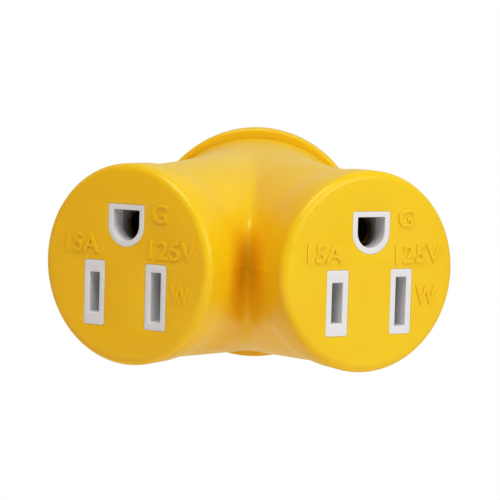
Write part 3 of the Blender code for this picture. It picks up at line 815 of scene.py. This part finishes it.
@dataclass(frozen=True)
class PlugEnd:
    """The white bridge whose pad fills the cap's window, and the poles that go through it."""

    pattern: OutletPattern
    blade_thickness: float = 1.52 * MM
    blade_height: float = 6.35 * MM
    blade_length: float = 17.5 * MM
    blade_hole: float = 3.2 * MM
    hole_reach: float = 11.9 * MM
    blade_edge: float = 0.22 * MM
    tip_corner: float = 1.0 * MM
    pin_radius: float = 2.4 * MM
    pin_length: float = 20.6 * MM
    margin: float = 3.0 * MM  # pad outside the blades and the pin
    corner: float = 3.0 * MM
    inner_corner: float = 0.5 * MM  # where the pad's two outlines overlap
    pad_edge: float = 0.3 * MM
    pad_ease: float = 0.3  # share of the edge that its middle is set in
    plate_radius: float = 15.3 * MM
    plate_back: float = -3.8 * MM
    plate_front: float = -8.8 * MM
    blade_back: float = -10.1 * MM  # inside the roots
    root_back: float = -9.1 * MM  # next to the plate
    root_height: float = 8.4 * MM
    root_depth: float = 2.2 * MM
    tail_height: float = 2.6 * MM
    tail_end: float = -19.8 * MM
    fit: float = 0.08 * MM  # air round the poles
    hole_sides: int = 64
    pin_sides: int = 72
    dome_steps: int = 12
    wide_steps: int = 12
    tall_steps: int = 20

    def pad(self) -> list[Outline]:
        """Return the two outlines whose sum is the pad: a wide one and one round the pin."""
        half = self.pattern.pitch / 2 + self.blade_thickness / 2 + self.margin
        blades = -self.pattern.drop
        pin = self.pattern.rise - self.pattern.drop
        round_pin = self.pin_radius + self.margin
        wide = Outline(2 * half, blades - self.blade_height / 2 - self.margin,
                       blades + self.blade_height / 2 + self.margin / 2, 0.0,
                       self.corner, self.corner, self.wide_steps)
        tall = Outline(2 * round_pin, blades, pin + round_pin, 0.0,
                       round_pin, self.inner_corner, self.tall_steps)
        return [wide, tall]

    def build_bridge(self) -> Piece:
        """Return the bridge with its pad and the tight slots for the poles."""
        bridge = to_piece(rod(self.plate_radius, self.plate_front, self.plate_back), "bridge")
        raised = []
        ease = -self.pad_ease * self.pad_edge
        for number, outline in enumerate(self.pad()):
            pad = outline.loft([(0.0, self.plate_back - OVERLAP), (0.0, -self.pad_edge),
                                (ease, ease), (-self.pad_edge, 0.0)])
            raised.append(to_piece(pad, f"pad_{number}"))
        combine(bridge, raised, Boolean.ADD)
        tools = []
        front = self.plate_front - OVERLAP
        for pole in Pole:
            x, z = self.pattern.place(pole)
            if pole is Pole.GROUND:
                hole = rod(self.pin_radius + self.fit, front, OVERLAP, (x, z), self.hole_sides)
            else:
                half = self.blade_height / 2 + self.fit
                slot = Outline(self.blade_thickness + 2 * self.fit, z - half, z + half, x)
                hole = slot.loft([(0.0, front), (0.0, OVERLAP)])
            tools.append(to_piece(hole, f"{pole.value}_hole"))
        combine(bridge, tools, Boolean.CUT)
        return bridge

    def root(self, pole: Pole) -> list[Piece]:
        """Return the wide root and the narrow tail of a pole, which the adapter hides."""
        x, z = self.pattern.place(pole)
        front = self.root_back - self.root_depth
        wide = Outline(self.blade_thickness, z - self.root_height / 2, z + self.root_height / 2, x)
        tail = Outline(self.blade_thickness, z - self.tail_height / 2, z + self.tail_height / 2, x)
        return [to_piece(wide.loft([(0.0, front), (0.0, self.root_back)]), "root"),
                to_piece(tail.loft([(0.0, self.tail_end), (0.0, front + OVERLAP)]), "tail")]

    def build_blade(self, pole: Pole) -> Piece:
        """Return one flat blade with a round-cornered tip and a hole."""
        x, z = self.pattern.place(pole)
        back, tip = self.blade_back, self.blade_length
        bm = bmesh.new()
        corners = ((back, -1), (tip, -1), (tip, 1), (back, 1))
        verts = [bm.verts.new((x - self.blade_thickness / 2, y, z + side * self.blade_height / 2))
                 for y, side in corners]
        bm.faces.new(verts)
        bmesh.ops.bevel(bm, geom=verts[1:3], offset=self.tip_corner, affect="VERTICES", segments=6,
                        profile=0.5, material=-1)
        grown = bmesh.ops.extrude_face_region(bm, geom=bm.faces[:])["geom"]
        moved = [item for item in grown if isinstance(item, bmesh.types.BMVert)]
        bmesh.ops.translate(bm, verts=moved, vec=(self.blade_thickness, 0.0, 0.0))
        blade = to_piece(bm, f"{pole.value}_blade_fine")
        drill = rod(self.blade_hole / 2, x - 2 * OVERLAP, x + 2 * OVERLAP,
                    (-self.hole_reach, z), self.hole_sides)
        turn = Matrix.Rotation(-pi / 2, 4, "Z")
        combine(blade, [to_piece(drill, "drill", turn)], Boolean.CUT)
        soften(blade, self.blade_edge, 3)
        return blade

    def build_pin(self) -> Piece:
        """Return the round ground pin with its domed tip."""
        profile = [(0.0, self.blade_back), (self.pin_radius, self.blade_back)]
        profile += [(self.pin_radius - inset, self.pin_length - drop)
                    for drop, inset in rounding(self.pin_radius, self.dome_steps)]
        profile[-1] = (0.0, self.pin_length)
        pin = turned(profile, self.pattern.place(Pole.GROUND), self.pin_sides)
        return to_piece(pin, "ground_pin_fine")


@dataclass(frozen=True)
class FaceMark:
    """One raised mark on a socket's face."""

    word: str
    x: float
    z: float
    width: float
    height: float


@dataclass(frozen=True)
class FaceMarks:
    """The ratings and pole letters raised on each face."""

    raised: float = 0.22 * MM
    sunk: float = 0.1 * MM
    edge: float = 0.06 * MM
    bolder: float = 0.02 * MM  # added to each side of a stroke
    marks: tuple[FaceMark, ...] = (
        FaceMark("15A", -9.0 * MM, 3.3 * MM, 7.0 * MM, 3.3 * MM),
        FaceMark("125V", 9.7 * MM, 3.0 * MM, 9.6 * MM, 3.3 * MM),
        FaceMark("G", 6.9 * MM, 9.1 * MM, 3.0 * MM, 3.3 * MM),
        FaceMark("W", 11.4 * MM, -4.2 * MM, 4.2 * MM, 3.3 * MM),
    )

    def build_mark(self, mark: FaceMark) -> Shape:
        """Return one mark's solid in the socket's frame, upright and partly sunk in the face."""
        curve = bpy.data.curves.new("mark", "FONT")
        curve.body = mark.word
        curve.size = mark.height
        curve.extrude = (self.raised + self.sunk) / 2 - self.edge
        curve.bevel_depth = self.edge
        curve.bevel_resolution = 1
        curve.offset = self.bolder
        writer = bpy.data.objects.new("mark", curve)
        mesh = bpy.data.meshes.new_from_object(writer)
        bpy.data.objects.remove(writer)
        bpy.data.curves.remove(curve)
        bm = bmesh.new()
        bm.from_mesh(mesh)
        bpy.data.meshes.remove(mesh)
        low = Vector([min(vert.co[axis] for vert in bm.verts) for axis in range(3)])
        high = Vector([max(vert.co[axis] for vert in bm.verts) for axis in range(3)])
        size = high - low
        fit = Matrix.Diagonal((mark.width / size.x, mark.height / size.y, 1.0, 1.0))
        centred = fit @ Matrix.Translation(-(low + high) / 2)
        depth = (self.sunk - self.raised) / 2
        place = Matrix.Translation((mark.x, depth, mark.z)) @ UPRIGHT
        bmesh.ops.transform(bm, matrix=place @ centred, verts=bm.verts)
        return bm

    def build(self, side: Side, place: Matrix) -> Piece:
        """Return all the marks of one face as one piece."""
        whole = bmesh.new()
        for mark in self.marks:
            bm = self.build_mark(mark)
            mesh = bpy.data.meshes.new("mark")
            bm.to_mesh(mesh)
            bm.free()
            whole.from_mesh(mesh)
            bpy.data.meshes.remove(mesh)
        return to_piece(whole, f"{side.word}_face_marks", place)


# ---- studio


def direction(azimuth: float, elevation: float) -> Vector:
    """Return the way out from the adapter at two angles in degrees, the first from -Y to +X."""
    turn, rise = radians(azimuth), radians(elevation)
    return Vector((sin(turn) * cos(rise), -cos(turn) * cos(rise),
                   sin(rise)))


@dataclass(frozen=True)
class SoftBox:
    """One soft studio light, aimed at the adapter."""

    name: str
    azimuth: float  # degrees from -Y, positive towards +X
    elevation: float
    distance: float
    size: float
    power: float

    def build(self, target: Vector) -> None:
        """Add the light to the scene."""
        light = bpy.data.lights.new(self.name, "AREA")
        light.shape = "DISK"
        light.size = self.size
        light.energy = self.power
        way = direction(self.azimuth, self.elevation)
        lamp = link(self.name, light)
        lamp.location = target + way * self.distance
        lamp.rotation_euler = (-way).to_track_quat("-Z", "Y").to_euler()


@dataclass(frozen=True)
class Studio:
    """A pale floor, soft boxes, a white surround and the camera."""

    aim: tuple[float, float, float] = (-0.42 * MM, -29.8 * MM, 0.25 * MM)
    distance: float = 400.0 * MM
    elevation: float = 4.82  # degrees above the adapter
    turn: float = 1.28  # degrees towards +X
    roll: float = -1.64  # degrees
    lens: float = 155.6  # mm on a 36 mm sensor
    floor_drop: float = 60.0 * MM
    floor_size: float = 3.0
    floor_colour: str = "#F2F2F2"
    front_glow: float = 0.25  # the room's light from in front of the sockets
    front_colour: str = "#FFEFE0"
    back_glow: float = 0.62  # and from the white wall behind the plug
    white: str = "#FFFFFF"
    film: tuple[tuple[float, float], ...] = (
        (0.2, 0.165), (0.42, 0.395), (0.68, 0.72), (0.9, 0.9))
    boxes: tuple[SoftBox, ...] = (
        SoftBox("key", 48.0, 22.0, 0.9, 0.55, 2.8),
        SoftBox("top", -8.0, 62.0, 0.9, 0.5, 4.1),
    )

    @property
    def target(self) -> Vector:
        """The point that the camera and the lights look at."""
        return Vector(self.aim)

    def build_camera(self) -> None:
        """Add the camera and make it the scene's."""
        way = direction(self.turn, self.elevation)
        turn = radians(self.turn)
        right = Vector((cos(turn), sin(turn), 0.0))
        up = way.cross(right)
        axes = Matrix((right, up, way)).transposed().to_4x4()
        roll = Matrix.Rotation(radians(-self.roll), 4, "Z")
        data = bpy.data.cameras.new("camera")
        data.lens = self.lens
        data.sensor_width = 36.0
        data.clip_start = 0.01
        camera = link("camera", data)
        camera.matrix_world = Matrix.Translation(self.target + way * self.distance) @ axes @ roll
        bpy.context.scene.camera = camera

    def build_floor(self) -> None:
        """Add the pale floor, whose own outline the camera doesn't see."""
        bm = bmesh.new()
        bmesh.ops.create_grid(bm, x_segments=1, y_segments=1, size=self.floor_size / 2)
        place = Matrix.Translation((0.0, 0.0, self.target.z - self.floor_drop))
        floor = to_piece(bm, "floor", place)
        material, _, shader = new_material("opal_acrylic")
        adjust(shader, {"Base Color": linear(self.floor_colour), "Roughness": 0.6})
        finish(floor, material)
        floor.visible_camera = False

    def build_surround(self) -> None:
        """Light the world, more from behind, with a white backdrop where it is seen directly."""
        world = bpy.data.worlds.new("white_room")
        world.use_nodes = True
        tree = world.node_tree
        tree.nodes.clear()
        way = add_node(tree, "ShaderNodeTexCoord", {}).outputs["Generated"]
        axes = add_node(tree, "ShaderNodeSeparateXYZ", {}, {"Vector": way})
        depth = {"Value": axes.outputs["Y"]}
        span = {"From Min": -0.1, "From Max": 0.5}
        glow = add_node(tree, "ShaderNodeMapRange", {
            **span, "To Min": self.front_glow, "To Max": self.back_glow}, depth)
        tint = add_node(tree, "ShaderNodeMapRange", span, depth)
        colour = add_node(tree, "ShaderNodeMix", {
            "data_type": "RGBA", 6: linear(self.front_colour), 7: linear(self.white)},
            {0: tint.outputs["Result"]})
        light = add_node(tree, "ShaderNodeBackground", {}, {
            "Color": colour.outputs[2], "Strength": glow.outputs["Result"]})
        backdrop = add_node(tree, "ShaderNodeBackground", {
            "Color": linear(self.white), "Strength": 1.0})
        seen = add_node(tree, "ShaderNodeLightPath", {}).outputs["Is Camera Ray"]
        both = add_node(tree, "ShaderNodeMixShader", {}, {
            0: seen, 1: light.outputs["Background"], 2: backdrop.outputs["Background"]})
        add_node(tree, "ShaderNodeOutputWorld", {}, {"Surface": both.outputs["Shader"]})
        bpy.context.scene.world = world

    def build(self) -> None:
        """Add the camera, the floor, the lights and the surround."""
        self.build_camera()
        self.build_floor()
        self.build_surround()
        for box in self.boxes:
            box.build(self.target)
        self.set_film()

    def set_film(self) -> None:
        """Give the picture a plain view with a little more contrast than a linear film."""
        settings = bpy.context.scene.view_settings
        settings.view_transform = "Standard"
        settings.look = "None"
        settings.use_curve_mapping = True
        curve = settings.curve_mapping.curves[3]
        for dark, bright in self.film:
            curve.points.new(dark, bright)
        settings.curve_mapping.update()


# ---- all together


@dataclass
class Adapter:
    """The whole adapter: it builds the fine pieces and dresses every node."""

    pattern: OutletPattern

    def __post_init__(self) -> None:
        """Build the finishes and read the places of both sockets."""
        # Soft PVC from a polished mould: glossy, and light sinks a little way into it.
        self.vinyl = MouldedPlastic("moulded_yellow_pvc", "#F5C816", "#F2C412", 0.33,
                                    gloss=0.34, subsurface=0.12).build()
        # Rigid nylon from a plainer mould: a flatter, cooler white.
        self.white = MouldedPlastic("moulded_white_nylon", "#E2E2E4", "#DEDEE0", 0.42,
                                    flow=6.0 * MM).build()
        # Strip metals, straight from the die or plated: satin lines along the strip.
        # The brass is darker and browner than clean brass: painted shade for the contacts, which
        # sit deep in the socket pockets.
        self.brass = StampedMetal("stamped_brass", "#B08D4E", "#6E5226", 0.34).build()
        self.nickel = StampedMetal("nickel_plated_brass", "#C9C5BC", "#B3AC9E", 0.24).build()
        self.tin = StampedMetal("tinned_copper", "#B9B6B2", "#9A948C", 0.38).build()
        # Extruded wire jackets: an even, rather dull skin.
        self.jackets = {
            Pole.HOT: MouldedPlastic("extruded_black_pvc", "#17181A", "#1C1D1F", 0.45).build(),
            Pole.NEUTRAL: MouldedPlastic("extruded_white_pvc", "#D8D8D4", "#D0D0CB", 0.45).build(),
            Pole.GROUND: MouldedPlastic("extruded_green_pvc", "#1C6B3A", "#186033", 0.45).build(),
        }
        self.places = {side: SocketPlace.read(side) for side in Side}

    def show(self, piece: Piece, material: bpy.types.Material, slot: str,
             *nodes: str) -> None:
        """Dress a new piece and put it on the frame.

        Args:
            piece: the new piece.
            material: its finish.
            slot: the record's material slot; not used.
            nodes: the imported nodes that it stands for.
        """
        finish(piece, material)
        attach(piece, BODY)
        if nodes:
            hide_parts(*nodes)
        LOG.info("%s: %d faces, %s", piece.name, len(piece.data.polygons), material.name)

    def dress(self, node: str, material: bpy.types.Material) -> None:
        """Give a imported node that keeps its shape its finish."""
        finish(frame["nodes"][node], material)
        LOG.info("%s: packed shape, %s", node, material.name)

    def build_housing(self) -> None:
        """Build the body, the inserts and what is raised on the faces."""
        insert = SocketInsert(self.pattern)
        body = ForkBody(self.places, insert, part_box("y_body")[1].y).build()
        self.show(body, self.vinyl, "yellow_vinyl", "y_body")
        marks = FaceMarks()
        for side, place in self.places.items():
            self.show(insert.build(side, place.matrix), self.white, "white_insert",
                      f"{side.word}_socket_carrier")
            self.show(marks.build(side, place.matrix), self.vinyl, "yellow_vinyl")

    def build_plug(self) -> None:
        """Build the cap, the bridge, the blades and the pin."""
        plug = PlugEnd(self.pattern)
        cap = PlugCap.read().build(plug.pad())
        self.show(cap, self.vinyl, "yellow_vinyl", "plug_cap")
        self.show(plug.build_bridge(), self.white, "white_insert", "plug_bridge")
        for pole in (Pole.HOT, Pole.NEUTRAL):
            blade = plug.build_blade(pole)
            combine(blade, plug.root(pole), Boolean.ADD)
            self.show(blade, self.nickel, "blade_nickel", f"{pole.value}_blade")
        pin = plug.build_pin()
        combine(pin, plug.root(Pole.GROUND), Boolean.ADD)
        self.show(pin, self.nickel, "blade_nickel", "ground_pin")

    def dress_inner_parts(self) -> None:
        """Give the parts inside their finishes."""
        self.dress("blade_retainer", self.white)
        for pole in Pole:
            self.dress(f"{pole.value}_splice", self.tin)
        for side in Side:
            self.dress(f"{side.word}_contact_cover", self.white)
            for pole in Pole:
                self.dress(f"{side.word}_{pole.value}_contact", self.brass)
                self.dress(f"{side.word}_{pole.value}_wire", self.jackets[pole])


def main() -> None:
    """Build the adapter and the studio."""
    logging.basicConfig(level=logging.INFO, format="%(name)s: %(message)s")
    adapter = Adapter(OutletPattern())
    adapter.build_housing()
    adapter.build_plug()
    adapter.dress_inner_parts()
    Studio().build()


if __name__ == "__main__":
    main()
